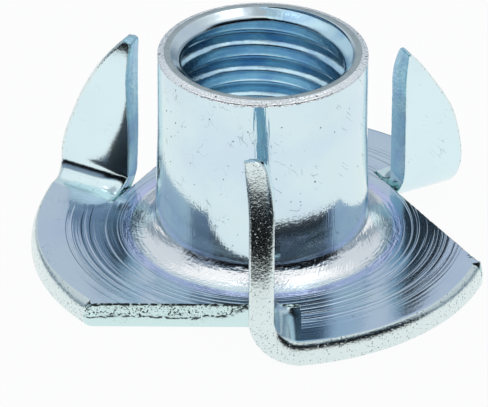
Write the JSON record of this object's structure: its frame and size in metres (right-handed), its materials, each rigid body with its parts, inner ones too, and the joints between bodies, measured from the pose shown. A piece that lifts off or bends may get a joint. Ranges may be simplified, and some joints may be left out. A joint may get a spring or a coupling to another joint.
{
  "type": "pronged tee nut",
  "caption": "Zinc-plated steel tee nut: tapped barrel on a round flange with folded-up prongs.",
  "frame": {"origin": "on the barrel's axis, in the plane of the flange's flat underside", "axes": "+Z along the barrel's axis, from the flange towards the barrel's mouth and the prongs' tips; one prong lies on the -Y side"},
  "size_m": [0.0191, 0.0195, 0.0095],
  "materials": {
    "zinc_plated_steel": "bright zinc plating"
  },
  "bodies": {
    "root": {"tee_nut": "zinc_plated_steel"}
  },
  "joints": []
}
